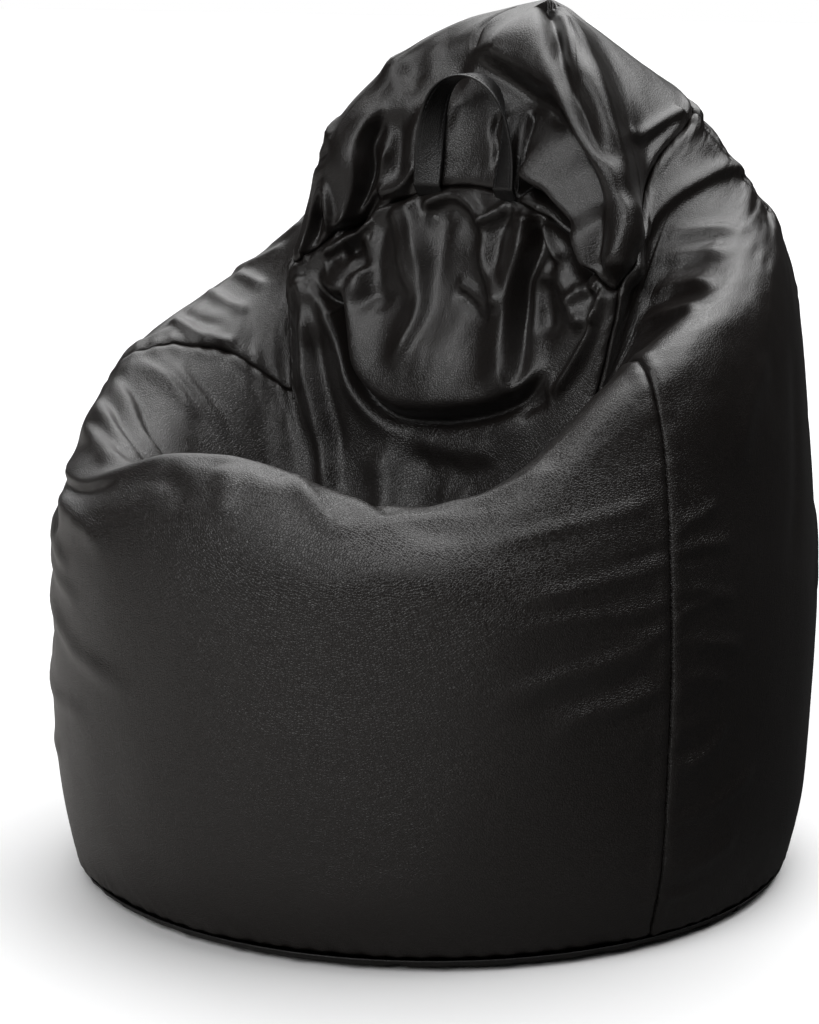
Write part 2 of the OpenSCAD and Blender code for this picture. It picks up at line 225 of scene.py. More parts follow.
def fold(path, a, wl, wr=None, c=0.0, lean=0.0, ends=(0.25, 0.25), wobble=0.12):
    """A ridge (a > 0) or crease (a < 0) along a path of (angle, row) points.

    wl and wr are its widths left and right of the path, seen from outside;
    c is a crease beside it on the right; lean pushes the ridge over it."""
    wr = wl if wr is None else wr
    n = 12 * len(path)
    uv = curve(path, n)
    pts = at(uv[:, 0], uv[:, 1])
    reach = max(3 * wl, (7 if c else 3) * wr) + 6
    near_t = (TT > uv[:, 1].min() - 1.6) & (TT < uv[:, 1].max() + 1.6)
    mid = (uv[:, 0].min() + uv[:, 0].max()) / 2
    half = (uv[:, 0].max() - uv[:, 0].min()) / 2
    near_h = np.abs(turn(HH, mid)) < half + 26
    lo, hi = pts.min(0) - reach, pts.max(0) + reach
    box = np.all((BASE > lo) & (BASE < hi), axis=-1)
    idx = np.flatnonzero(near_t & near_h & box)
    if not len(idx):
        return
    v = FLATB[idx]
    seg = np.diff(pts, axis=0)
    seg_len = np.linalg.norm(seg, axis=1)
    run = np.concatenate([[0], np.cumsum(seg_len)])
    best = np.full(len(v), 1e9)
    s_at = np.zeros(len(v))
    tang = np.zeros_like(v)
    foot = np.zeros_like(v)
    for k in range(n - 1):
        rel = v - pts[k]
        f = np.clip((rel @ seg[k]) / (seg_len[k] ** 2 + 1e-9), 0, 1)
        q = pts[k] + f[:, None] * seg[k]
        d = np.linalg.norm(v - q, axis=1)
        m = d < best
        best[m] = d[m]
        s_at[m] = run[k] + f[m] * seg_len[k]
        tang[m] = seg[k] / (seg_len[k] + 1e-9)
        foot[m] = q[m]
    keep = best < reach
    idx, v, best, s_at, tang, foot = (x[keep] for x in (idx, v, best, s_at, tang, foot))
    nrm = FLATN[idx]
    right = np.cross(tang, nrm)
    right /= np.linalg.norm(right, axis=1, keepdims=True) + 1e-9
    side = np.einsum("ij,ij->i", v - foot, right)
    d = np.where(side >= 0, best, -best)
    s = s_at / run[-1]
    env = np.ones(len(v))
    if ends[0] > 0:
        env *= np.clip(s / ends[0], 0, 1) ** 0.8
    if ends[1] > 0:
        env *= np.clip((1 - s) / ends[1], 0, 1) ** 0.8
    past = (s <= 0) | (s >= 1)
    env = np.where(past & (best > 0.6 * max(wl, wr)), 0.0, env)
    env = env * env * (3 - 2 * env)
    ph = rng.uniform(0, 6.28, 2)
    waver = np.sin(s_at / 23 + ph[0]) + 0.6 * np.sin(s_at / 9 + ph[1])
    env = env * (1 + wobble * waver)
    w = np.where(d < 0, wl, wr)
    h = a * np.exp(-((d / w) ** 2))
    if c:
        off = 1.9 * wr
        h = h - c * np.exp(-(((d - off) / np.where(d < off, 1.15 * wr, 2.4 * wr)) ** 2))
    out = (h * env)[:, None] * nrm
    if lean:
        out += (lean * np.exp(-((d / (0.9 * wl + 2)) ** 2)) * env)[:, None] * right
    flat = MOVE.reshape(-1, 3)
    flat[idx] += out


def bulge(th, t, a, r, r_up=None):
    """A soft swelling (or dent) of height a round one point."""
    c = at([th, th, th + 2], [t, t + 0.05, t])
    up = c[1] - c[0]
    up /= np.linalg.norm(up)
    idx = np.flatnonzero((np.abs(turn(HH, th)) < 60) & (np.abs(TT - t) < 3.5))
    d = FLATB[idx] - c[0]
    u = d @ up
    w = np.sqrt(np.maximum((d * d).sum(1) - u * u, 0))
    g = a * np.exp(-((u / (r_up or r)) ** 2) - (w / r) ** 2)
    g *= np.clip(FLATN[idx] @ FLATN[idx[np.argmin((d * d).sum(1))]], 0, 1)
    MOVE.reshape(-1, 3)[idx] += g[:, None] * FLATN[idx]


def hood_folds():
    bulge(-57, 12.7, 12, 34, 40)
    bulge(0, 12.9, -9, 90, 60)
    fold([(-49, 12.05), (-46, 12.3), (-46, 12.5), (-48, 12.75), (-47, 12.95), (-42, 13.05)],
         14, 26, 6, c=14, lean=6, ends=(0.06, 0.25))
    fold([(-60, 11.98), (-60.5, 12.25), (-57.5, 12.5), (-54.5, 12.44), (-52, 12.2), (-50, 12.02)],
         11, 4.5, 4.5, ends=(0.04, 0.04))
    fold([(-56.5, 12.03), (-56.5, 12.2), (-55.5, 12.36)], -8, 5)
    fold([(-50, 12.02), (-44, 12.1), (-38, 12.2), (-34, 12.12), (-28, 12.1), (-23, 12.22),
          (-20, 12.26)], 9, 6, 4, c=7, ends=(0.06, 0.1))
    fold([(-42, 12.2), (-38, 12.42), (-36, 12.6)], 6, 6)
    fold([(-24, 14.5), (-21, 14.05), (-17, 13.82), (-13, 13.6)], -6, 4, ends=(0, 0.1))
    bulge(18, 13.75, 9, 55, 40)
    fold([(-14, 13.62), (-4, 13.55), (8, 13.5), (20, 13.42), (32, 13.35), (42, 13.3),
          (50, 13.22), (56, 13.08), (62, 12.95), (69, 12.78), (74, 12.55), (71, 12.3),
          (66, 12.08)], 19, 36, 7, c=9, lean=8, ends=(0.12, 0.05), wobble=0.05)
    fold([(2, 13.2), (16, 13.08), (30, 12.98), (43, 12.85), (54, 12.7), (62, 12.5)], -16, 34,
         ends=(0.3, 0.1))
    fold([(36, 14.85), (40, 14.4), (43, 14.0), (47, 13.72), (54, 13.46), (61, 13.28), (67, 13.1),
          (73, 12.95), (78, 12.72)], -17, 8, 10, ends=(0, 0.15))
    fold([(48, 14.6), (56, 14.0), (64, 13.6), (72, 13.3), (78, 13.1)], 8, 16)
    fold([(24, 12.42), (32, 12.38), (40, 12.36), (46, 12.32), (51, 12.28), (55, 12.2),
          (58, 12.05)], 15, 16, 6.5, c=26, lean=10, ends=(0.08, 0.06))
    fold([(30, 12.07), (38, 12.08), (46, 12.07), (52, 12.05)], -10, 9)
    fold([(20, 13.0), (21.5, 12.7), (22, 12.35), (22, 12.1)], -8, 5, ends=(0.2, 0))
    fold([(8, 12.85), (6.5, 12.62), (9, 12.45), (10, 12.2)], -7, 4)
    fold([(12, 12.85), (13, 12.55), (13, 12.3)], 6, 5)
    fold([(-17, 12.4), (-13, 12.7), (-10, 12.95)], 5, 8)
    fold([(-76, 13.15), (-66, 13.0), (-58, 12.93)], 6, 5, 6)
    fold([(-72, 12.8), (-64, 12.78), (-57, 12.8)], -5, 6)
    fold([(-30, 12.15), (-31, 12.5), (-36, 12.95)], -9, 12)
    fold([(-24, 12.2), (-25, 12.6), (-22, 12.95)], 6, 9)
    fold([(-48, 13.4), (-28, 13.42), (-8, 13.25)], -9, 26)
    fold([(-70, 13.6), (-50, 13.65), (-30, 13.62)], 6, 22)


def tongue_folds():
    bulge(-3, 10.25, 27, 70, 50)
    bulge(-16, 11.3, 7, 30, 38)
    bulge(12, 11.45, 5, 22, 34)
    bulge(-52, 10.0, 7, 26, 60)
    fold([(-53, 11.6), (-46, 11.22), (-39, 10.98), (-34, 10.66), (-29, 10.28), (-23, 10.08),
          (-17, 9.97), (-10, 9.92), (0, 9.93), (13, 9.98), (28, 10.1), (36, 10.25), (45, 10.5)],
         15, 24, 6, c=18, lean=10, ends=(0.1, 0.16), wobble=0.05)
    fold([(-57, 11.62), (-50, 11.1), (-45, 10.7), (-38, 10.3), (-33, 10.02), (-26, 9.83),
          (-18, 9.7), (-8, 9.64)], 11, 7, 12, ends=(0.1, 0.4), wobble=0.05)
    fold([(-60, 11.8), (-58, 11.4), (-56, 10.5), (-51, 9.85), (-43, 9.15), (-36, 8.5)],
         12, 12, 12, ends=(0.05, 0.2))
    fold([(-54, 10.9), (-50, 10.3), (-44, 9.75), (-36, 9.2)], -9, 12, ends=(0.2, 0.3))
    fold([(-22, 9.5), (-18, 9.3), (-14, 9.0), (-11, 8.6)], 10, 19, ends=(0.3, 0.1))
    fold([(-13, 9.42), (-4, 9.42), (2, 9.35), (10, 9.38), (18, 9.33), (26, 9.4), (33, 9.36)],
         -4, 9, 12, ends=(0.2, 0.3))
    fold([(-8, 9.6), (4, 9.56), (16, 9.56), (30, 9.56)], 6, 11)
    fold([(6, 9.2), (12, 9.12), (20, 9.16)], 3, 9)
    # drops hanging from the crown seam
    fold([(-24, 11.95), (-18.5, 11.6), (-15, 11.34), (-11, 11.0), (-9, 10.7), (-10.5, 10.44),
          (-14, 10.15)], 10, 10, 15, ends=(0.05, 0.2), wobble=0.05)
    fold([(-28, 11.9), (-25, 11.65), (-21.5, 11.4), (-19, 11.16), (-15, 10.95), (-10, 10.83)],
         6, 9, 8, c=2, ends=(0.05, 0.3))
    fold([(-31, 11.8), (-31, 11.4), (-29, 11.05), (-25, 10.7)], -5, 11, ends=(0.1, 0.4))
    fold([(-39, 11.85), (-37, 11.5), (-35, 11.1), (-31, 10.7)], 6, 8, 10, ends=(0.1, 0.4))
    fold([(-6, 11.7), (-6, 11.3), (-4, 10.9)], -4, 11, ends=(0.1, 0.5))
    fold([(9, 11.74), (11, 11.48), (13.5, 11.2), (18, 10.97), (22, 10.77)], 9, 9, 8,
         ends=(0.1, 0.15))
    fold([(-17, 11.82), (-6, 11.9), (3, 11.8), (9, 11.66), (14, 11.78), (19, 11.93)], 9, 5, 7,
         c=6, ends=(0.08, 0.08))
    fold([(31, 10.15), (27, 10.45), (24.5, 10.8), (24.5, 11.1), (27, 11.5), (27, 11.94)],
         15, 26, 5.5, c=13, lean=4, ends=(0.12, 0.05), wobble=0.06)
    bulge(40, 10.9, -13, 40, 52)
    fold([(16, 11.9), (17, 11.5), (18, 11.1)], -5, 8, ends=(0.05, 0.4))
    fold([(2, 10.93), (8, 10.85), (13, 10.75), (19, 10.68)], -6, 3.5, 5, ends=(0.2, 0.1))
    fold([(2, 11.03), (9, 10.95), (16, 10.85)], 5, 5)
    fold([(-34, 10.75), (-27, 10.85), (-22, 10.72)], -5, 10)
    # the slack part beside it
    fold([(33, 11.92), (38, 11.74), (43, 11.64)], 9, 5, 5, c=6, ends=(0.06, 0.2))
    fold([(40, 11.5), (47, 11.3), (56, 11.15)], 7, 9)
    fold([(34, 11.3), (38, 10.95), (41, 10.7)], -9, 13)
    fold([(59, 11.9), (53, 11.72), (49, 11.45), (47, 11.15)], 8, 6, 8, c=3, ends=(0.06, 0.3))
    fold([(61, 11.6), (56, 11.4), (51, 11.2)], 5, 6, 8, ends=(0.06, 0.3))
    fold([(44, 11.9), (51, 11.78), (57, 11.66)], -8, 7)
    fold([(62, 11.95), (60, 11.7), (58.5, 11.16), (54.5, 10.65), (49.5, 10.2)], 11, 8, 6, c=5,
         ends=(0.08, 0.2), wobble=0.06)
    fold([(-45, 11.68), (-39, 11.5), (-35, 11.15)], -13, 9, ends=(0.1, 0.2))
    fold([(-52, 11.84), (-46, 11.8), (-40, 11.84), (-35, 11.8)], 8, 5, 5, c=6, ends=(0.05, 0.15))
    fold([(36, 9.9), (42, 10.05), (48, 10.2)], -8, 9)
    fold([(-48, 11.92), (-40, 11.97), (-30, 11.96), (-24, 11.92)], 7, 4, 4)


def arm(path, a, wl, wr=None, c=0.0, **more):
    """A fold of the arms and shoulders, where the cloth is pulled tighter."""
    fold(path, 0.5 * a, wl, wr, c=0.35 * c, **more)


def arm_folds():
    # the sitter's right arm, in front of the side seam
    arm([(-57, 6.7), (-59.5, 6.42), (-62, 6.18), (-64.5, 5.82), (-68, 5.4)], 10, 13, 7,
         ends=(0.3, 0.45), wobble=0.06)
    arm([(-56, 7.2), (-59, 6.9), (-62, 6.58), (-65, 6.25), (-68, 6.0)], 8, 10, 7,
         ends=(0.35, 0.4), wobble=0.06)
    arm([(-43, 6.2), (-47, 5.78), (-52, 5.58), (-57, 5.42), (-63, 5.05), (-66, 4.85)], 13, 14,
         7, c=9, ends=(0.25, 0.45), wobble=0.06)
    arm([(-37, 5.5), (-44, 5.28), (-50, 5.08), (-57, 4.8), (-63, 4.52)], 11, 12, 6, c=7,
         ends=(0.25, 0.5), wobble=0.06)
    arm([(-30, 5.0), (-38, 4.9), (-46, 4.72), (-54, 4.42), (-60, 4.15)], 8, 11, 7, c=4,
         ends=(0.3, 0.45))
    arm([(-60, 3.5), (-52, 3.78), (-43, 3.97), (-36, 4.15), (-29, 4.32), (-22, 4.5)], 11, 15,
         5, c=6, lean=3, ends=(0.35, 0.2), wobble=0.06)
    arm([(-50, 3.4), (-42, 3.65), (-34, 3.9)], -4, 9)
    # behind that seam
    arm([(-73, 4.5), (-73.2, 5.1), (-73.5, 5.6), (-75, 6.15)], 7, 7, 8, ends=(0.1, 0.2))
    arm([(-79, 5.8), (-76, 6.1), (-72.5, 6.5), (-71.5, 6.9), (-72, 7.3)], 9, 8, 6, c=5,
         ends=(0.15, 0.1))
    arm([(-86, 5.6), (-80, 6.05), (-76, 6.6), (-75, 7.1)], -6, 8)
    arm([(-91, 5.9), (-87, 6.3), (-83, 6.8), (-80.5, 7.4)], 9, 8, 10, ends=(0.15, 0.2))
    arm([(-95, 6.2), (-92, 6.8), (-88, 7.55)], 8, 7, 9, ends=(0.15, 0.2))
    arm([(-99, 5.7), (-97.5, 6.4), (-97.5, 7.0), (-98, 7.7)], 8, 7, 9, ends=(0.15, 0.2))
    arm([(-103, 6.4), (-102, 7.2), (-102, 8.2)], 6, 8)
    arm([(-86, 8.4), (-90, 9.3), (-96, 10.2), (-104, 10.8)], 6, 14)
    arm([(-80, 9.4), (-84, 10.4), (-92, 11.2)], -6, 12)
    # the sitter's left arm and the shoulder above it
    arm([(82.5, 10.4), (87, 9.0), (88.5, 8.1), (86.5, 7.0), (84, 5.7)], 16, 13, 8, c=4,
         ends=(0.35, 0.3), wobble=0.06)
    arm([(86, 10.6), (91, 9.4), (94, 8.4), (94.5, 7.4), (93, 6.2)], 15, 12, 8, c=4,
         ends=(0.35, 0.3), wobble=0.06)
    arm([(92, 10.6), (97, 9.4), (100, 8.3), (101.5, 7.4), (101.5, 6.5)], 11, 12, 9, c=3,
         ends=(0.35, 0.3), wobble=0.06)
    arm([(96, 10.5), (102, 9.3), (105.5, 8.3), (108, 7.4), (109, 6.6)], 11, 12, 9, c=3,
         ends=(0.3, 0.4), wobble=0.06)
    arm([(76, 12.15), (84, 12.02), (91, 11.5), (98, 10.95), (108, 10.3), (119, 9.4),
          (130, 8.0)], 11, 13, 7, c=6, ends=(0.1, 0.08), wobble=0.06)
    arm([(90, 12.85), (95, 12.6), (100, 12.47), (107, 12.37), (115, 12.3), (122, 12.2)], 10, 8,
         5, c=7, ends=(0.1, 0.06))
    arm([(73, 11.95), (80, 11.75), (88, 11.3), (94, 10.7)], 7, 10)
    arm([(70, 12.0), (78, 12.05), (90, 12.03), (102, 11.98)], -9, 8, ends=(0.1, 0.2))


def back_folds():
    for path, a, w in (
            ([(131, 3.2), (140, 3.9), (150, 4.1), (162, 4.0)], 6, 14),
            ([(133, 2.5), (142, 2.9), (154, 2.8)], -4, 12),
            ([(-131, 2.9), (-141, 3.6), (-153, 3.9), (-166, 3.8)], 6, 15),
            ([(-132, 2.0), (-142, 2.5), (-150, 2.6)], -4, 11),
            ([(150, 12.0), (152, 10.5), (155, 8.5), (160, 6.5)], -5, 10),
            ([(-146, 12.0), (-150, 10.5), (-156, 8.5), (-158, 7)], -5, 10),
            ([(168, 12), (170, 10), (174, 8)], 5, 12),
            ([(-168, 12), (-169, 10.5), (-172, 8.5)], 5, 12),
            ([(130, 5.2), (140, 5.6), (152, 5.4), (166, 5.0)], -6, 10),
            ([(-130, 5.0), (-141, 5.5), (-154, 5.3), (-168, 5.2)], -6, 10),
            ([(112, 2.4), (118, 2.9), (124, 3.1)], 3, 9),
            ([(-112, 2.2), (-118, 2.8), (-125, 3.0)], 3, 9),
            ([(150, 12.6), (156, 13.2), (162, 13.9)], -5, 9),
            ([(-140, 12.6), (-148, 13.2), (-156, 13.9)], -5, 9),
            ([(176, 12.3), (178, 13.2), (179, 14)], 4, 10)):
        fold(path, a, w)


def wall_folds():
    bulge(-48, 2.6, -7, 110, 120)
    bulge(-58, 4.6, 7, 45, 34)
    bulge(-67, 5.3, 8, 40, 40)
    for path, a, w in (
            # drags that run to the seam at the sitter's left
            ([(44, 2.2), (50, 2.28), (57, 2.37), (63, 2.46), (69.5, 2.6)], 3.4, 9),
            ([(46, 2.08), (54, 2.16), (62, 2.25), (69, 2.38)], -2.4, 8),
            ([(51, 1.92), (57, 2.03), (63, 2.09), (69.5, 2.18)], 3.2, 8),
            ([(47, 2.95), (53, 2.98), (61, 3.03), (69, 3.04)], 2.2, 8),
            ([(46, 2.7), (54, 2.74), (62, 2.75), (69, 2.77)], 2.0, 8),
            ([(42, 3.76), (50, 3.7), (60, 3.62), (69, 3.6)], 2.4, 9),
            ([(71, 2.48), (76, 2.46), (84, 2.36)], 3.0, 7),
            ([(70.5, 1.3), (76, 1.29), (82, 1.35), (89, 1.46)], 3.2, 8),
            ([(70.5, 1.6), (75, 1.62), (79, 1.7), (81, 1.86)], 2.8, 6),
            ([(70.5, 3.36), (74, 3.38), (80, 3.44)], 2.2, 6),
            ([(70.5, 3.16), (75, 3.18), (83, 3.16)], 2.4, 7),
            ([(70.5, 2.2), (75, 2.2), (81, 2.12)], 2.6, 6),
            ([(71, 2.86), (76, 2.85), (83, 2.74)], 2.4, 7),
            ([(71, 0.85), (78, 0.9), (86, 1.02)], 2.4, 9),
            # drags behind the arm at the sitter's right
            ([(-50, 3.62), (-42, 3.52), (-33, 3.42), (-25, 3.3), (-16, 3.14)], 5.0, 13),
            ([(-52, 3.3), (-44, 3.2), (-36, 3.08)], -3.6, 11),
            ([(-54, 3.1), (-46, 2.98), (-37, 2.86), (-28, 2.76)], 4.4, 11),
            ([(-56, 2.8), (-46, 2.74), (-34, 2.6), (-24, 2.54)], 3.6, 10),
            ([(-56, 2.5), (-46, 2.4), (-34, 2.26), (-24, 2.12), (-10, 2.04)], 4.4, 12),
            ([(-58, 2.14), (-48, 2.08), (-38, 2.0)], -3.0, 10),
            ([(-57, 1.84), (-46, 1.76), (-34, 1.7), (-22, 1.74)], 3.4, 11),
            ([(-56, 1.2), (-46, 1.3), (-36, 1.36)], 2.6, 12),
            # the front rim
            ([(12, 5.2), (16, 4.6), (21, 4.1), (24, 3.85)], 5.0, 12),
            ([(24, 5.4), (27, 4.9), (30, 4.5)], -4.0, 9),
            ([(0, 4.7), (4, 4.2), (5.5, 3.7)], 3.6, 13),
            ([(-12, 4.5), (-6, 4.1), (-2, 3.75)], -3.0, 14),
            ([(33, 5.3), (40, 4.95), (47, 4.7), (54, 4.55)], 4.0, 12),
            ([(-38, 4.25), (-31, 4.4), (-22, 4.62), (-12, 4.9), (0, 5.05), (12, 5.15),
              (22, 5.2)], 5.0, 13),
            ([(30, 4.35), (38, 4.2), (46, 4.1)], -2.6, 14),
            ([(96, 2.8), (104, 3.4), (110, 4.2)], -3.0, 18),
            ([(84, 3.6), (90, 4.1), (98, 4.5)], 3.0, 16)):
        fold(path, a, w, ends=(0.3, 0.2), wobble=0.08)


def seam_gathers():
    """Short drags that leave each upright seam on both sides."""
    g = np.random.default_rng(23)
    for s, top, count in ((FS, 3.3, 13), (-FS, 3.6, 12), (RS, 8.5, 14), (-RS, 8.5, 14),
                          (180.0, 9.0, 12)):
        for way in (-1, 1):
            t0 = np.linspace(0.5, top, count) + g.uniform(-0.1, 0.1, count)
            for t in t0:
                run = g.uniform(4, 13)
                climb = way * g.uniform(-0.02, 0.11) * run / 8
                path = [(s + way * 0.6, t), (s + way * (0.6 + run / 2), t + 0.6 * climb),
                        (s + way * (0.6 + run), t + climb)]
                fold(path, g.choice([1, 1, -0.8]) * g.uniform(1.0, 2.2), g.uniform(4.5, 7.5),
                     ends=(0.02, 0.85), wobble=0.0)


seam_gathers()
hood_folds()
tongue_folds()
arm_folds()
back_folds()
wall_folds()


# Low waves of the slack cloth, and small puckers beside the seams
def smooth_noise(cells_r, cells_c, seed):
    """Smooth random waves over the grid, cells_r up and cells_c round."""
    g = np.random.default_rng(seed).normal(size=(cells_r + 3, cells_c))
    y = TT / LAST * cells_r
    x = (HH + 180) / 360 * cells_c
    i, j = np.floor(y).astype(int), np.floor(x).astype(int)
    fy, fx = y - i, x - j
    fy, fx = fy * fy * (3 - 2 * fy), fx * fx * (3 - 2 * fx)
    j0, j1 = j % cells_c, (j + 1) % cells_c
    return ((g[i, j0] * (1 - fx) + g[i, j1] * fx) * (1 - fy)
            + (g[i + 1, j0] * (1 - fx) + g[i + 1, j1] * fx) * fy)


# where the columns run together, on the backrest and the hood, the small waves fade out
loose = 1 / (1 + np.exp(-(TT - 4.2) * 2.2))
roomy = np.clip(PER_DEG / 6.0, 0.25, 1.0) ** 1.5
height = 2.2 * smooth_noise(18, 22, 3) + 0.8 * roomy * smooth_noise(40, 48, 4)
height *= 0.45 + 0.55 * loose
height += 0.35 * loose * roomy * smooth_noise(70, 110, 5)
# the rows lie close together on the shoulders, so the waves are calmer there
rows_close = (np.exp(-((np.abs(HH) - 104) / 26) ** 4)
              * np.exp(-((TT - 9.3) / 3.0) ** 4))
height *= 1 - 0.85 * rows_close


def seam_lines():
    """Each upright seam: the distance from it, and its puckers."""
    for s, pucker, out in ((-FS, 1.4, 0.5), (FS, 0.5, 0.2), (-RS, 0.9, 0.5), (RS, 0.6, 0.3),
                           (180.0, 0.8, 0.5)):
        d = np.abs(turn(HH, s)) * PER_DEG
        d = np.where(TT < SEAM_T + 0.01, d, 1e3)
        run = np.cumsum(np.linalg.norm(np.diff(BASE, axis=0, prepend=BASE[:1]), axis=-1), axis=0)
        g = smooth_noise(60, 40, int(abs(s)) + 5)
        wave = np.sin(run / 4.1 + 1.6 * g + s) * np.exp(-d / 16)
        far = np.exp(-((d - 20) / 22) ** 2) * np.sin(run / 8.5 + 1.3 * g)
        yield d, pucker * (0.8 * wave + out * far)


# every seam is a groove between two low welts
for d, wave in seam_lines():
    height += wave
    height += 1.3 * np.exp(-((d - 10) / 7) ** 2) - 3.2 * np.exp(-((d / 2.6) ** 2))

rows_len = np.linalg.norm(np.diff(BASE, axis=0, append=BASE[-1:]), axis=-1)
up_run = np.cumsum(np.vstack([np.zeros((1, NC)), rows_len[:-1]]), axis=0)
around = np.cumsum(PER_DEG * SPAN_TH / 2, axis=1)
d_crown = np.abs(up_run - up_run[SEAM_I])
height += (1.4 * np.exp(-((d_crown - 10) / 7) ** 2) - 4.0 * np.exp(-((d_crown / 3.0) ** 2)))
height += (0.8 * np.sin(around / 4.6 + 1.8 * smooth_noise(8, 90, 21)) * np.exp(-d_crown / 8))
height += 1.0 * np.sin(around / 4.2 + 1.5 * smooth_noise(8, 80, 22)) * np.exp(-up_run / 12)
height -= 2.5 * np.exp(-((up_run / 3.0) ** 2))
height *= np.clip((LAST - TT) / 0.4, 0, 1)

LOWEST = 12.5                       # the panels end above the base panel's margin
FORM = soften(BASE + MOVE + height[..., None] * NORMAL)
FORM[0, :, 2] = np.maximum(FORM[0, :, 2], LOWEST)
SHIFT = np.einsum("ijk,ijk->ij", FORM - BASE, NORMAL)


# ------------------------------------------------------------------
# Materials
# ------------------------------------------------------------------
def new_material(name):
    m = bpy.data.materials.new(name)
    m.use_nodes = True
    nt = m.node_tree
    nt.nodes.clear()
    out = nt.nodes.new("ShaderNodeOutputMaterial")
    bsdf = nt.nodes.new("ShaderNodeBsdfPrincipled")
    nt.links.new(bsdf.outputs[0], out.inputs["Surface"])
    return m, nt, bsdf


def node(nt, kind, **values):
    """A node with its settings, or its sockets' values where it has no such setting."""
    n = nt.nodes.new(kind)
    for k, v in values.items():
        if hasattr(n, k):
            setattr(n, k, v)
        else:
            n.inputs[k].default_value = v
    return n


def leather(name, dark, light, rough=(0.25, 0.34), grain=0.42, cell=400.0):
    """Grained leather-look vinyl: pebbles, fine pores, broad tone, colour darker in the grain's
    crevices, and a grain worn smoother up high.
    """
    m, nt, bsdf = new_material(name)
    link = nt.links.new
    co = node(nt, "ShaderNodeTexCoord")
    pos = co.outputs["Object"]
    warp = node(nt, "ShaderNodeTexNoise", Scale=170.0, Detail=2.0)
    link(pos, warp.inputs["Vector"])
    mix = node(nt, "ShaderNodeVectorMath", operation="MULTIPLY_ADD")
    link(warp.outputs["Color"], mix.inputs[0])
    mix.inputs[1].default_value = (0.0016, 0.0016, 0.0016)
    link(pos, mix.inputs[2])
    vor = node(nt, "ShaderNodeTexVoronoi", feature="DISTANCE_TO_EDGE", Scale=cell)
    link(mix.outputs[0], vor.inputs["Vector"])
    pebble = node(nt, "ShaderNodeMapRange", interpolation_type="SMOOTHSTEP")
    pebble.inputs["From Max"].default_value = 0.22
    link(vor.outputs["Distance"], pebble.inputs["Value"])
    fine = node(nt, "ShaderNodeTexNoise", Scale=1500.0, Detail=3.0, Roughness=0.6)
    link(pos, fine.inputs["Vector"])
    broad = node(nt, "ShaderNodeTexNoise", Scale=9.0, Detail=4.0, Roughness=0.55)
    link(pos, broad.inputs["Vector"])
    hsum = node(nt, "ShaderNodeMath", operation="MULTIPLY_ADD")
    link(fine.outputs["Fac"], hsum.inputs[0])
    hsum.inputs[1].default_value = 0.12
    link(pebble.outputs[0], hsum.inputs[2])
    # the backrest and the hood are worn smoother than the walls
    split = node(nt, "ShaderNodeSeparateXYZ")
    link(pos, split.inputs[0])
    worn_smooth = node(nt, "ShaderNodeMapRange", interpolation_type="SMOOTHSTEP")
    worn_smooth.inputs["From Min"].default_value = 0.44
    worn_smooth.inputs["From Max"].default_value = 0.60
    worn_smooth.inputs["To Min"].default_value = grain
    worn_smooth.inputs["To Max"].default_value = 0.58 * grain
    link(split.outputs["Z"], worn_smooth.inputs["Value"])
    bump = node(nt, "ShaderNodeBump", Distance=0.0008)
    link(worn_smooth.outputs[0], bump.inputs["Strength"])
    link(hsum.outputs[0], bump.inputs["Height"])
    soft = node(nt, "ShaderNodeTexNoise", Scale=55.0, Detail=3.0, Roughness=0.5)
    link(pos, soft.inputs["Vector"])
    bump2 = node(nt, "ShaderNodeBump", Strength=0.12, Distance=0.004)
    link(soft.outputs["Fac"], bump2.inputs["Height"])
    link(bump.outputs[0], bump2.inputs["Normal"])
    link(bump2.outputs[0], bsdf.inputs["Normal"])
    ramp = node(nt, "ShaderNodeMix", data_type="RGBA")
    ramp.inputs["A"].default_value = (*dark, 1)
    ramp.inputs["B"].default_value = (*light, 1)
    link(broad.outputs["Fac"], ramp.inputs["Factor"])
    # the colour is darker in the grain's crevices, where the pebble mask falls to zero
    crevice_dark = node(nt, "ShaderNodeMix", data_type="RGBA", blend_type="MULTIPLY")
    crevice_dark.inputs["Factor"].default_value = 0.35
    link(ramp.outputs["Result"], crevice_dark.inputs["A"])
    link(pebble.outputs[0], crevice_dark.inputs["B"])
    link(crevice_dark.outputs["Result"], bsdf.inputs["Base Color"])
    rr = node(nt, "ShaderNodeMapRange")
    rr.inputs["To Min"].default_value = rough[0]
    rr.inputs["To Max"].default_value = rough[1]
    link(broad.outputs["Fac"], rr.inputs["Value"])
    link(rr.outputs[0], bsdf.inputs["Roughness"])
    bsdf.inputs["Specular IOR Level"].default_value = 0.55
    return m


def plain(name, colour, rough, metal=0.0, scale=900.0, bump=0.1, dist=0.0003, kind="noise"):
    """A finish with one fine pattern in its colour, roughness and bump."""
    m, nt, bsdf = new_material(name)
    link = nt.links.new
    co = node(nt, "ShaderNodeTexCoord")
    if kind == "wave":
        tex = node(nt, "ShaderNodeTexWave", Scale=scale, Distortion=0.6)
        fac = tex.outputs["Fac"]
    elif kind == "cells":
        tex = node(nt, "ShaderNodeTexVoronoi", Scale=scale)
        fac = tex.outputs["Distance"]
    else:
        tex = node(nt, "ShaderNodeTexNoise", Scale=scale, Detail=4.0)
        fac = tex.outputs["Fac"]
    link(co.outputs["Object"], tex.inputs["Vector"])
    b = node(nt, "ShaderNodeBump", Strength=bump, Distance=dist)
    link(fac, b.inputs["Height"])
    link(b.outputs[0], bsdf.inputs["Normal"])
    mix = node(nt, "ShaderNodeMix", data_type="RGBA")
    mix.inputs["A"].default_value = (*[c * 0.75 for c in colour], 1)
    mix.inputs["B"].default_value = (*colour, 1)
    link(fac, mix.inputs["Factor"])
    link(mix.outputs["Result"], bsdf.inputs["Base Color"])
    rr = node(nt, "ShaderNodeMapRange")
    rr.inputs["To Min"].default_value = rough
    rr.inputs["To Max"].default_value = min(1.0, rough + 0.12)
    link(fac, rr.inputs["Value"])
    link(rr.outputs[0], bsdf.inputs["Roughness"])
    bsdf.inputs["Metallic"].default_value = metal
    return m


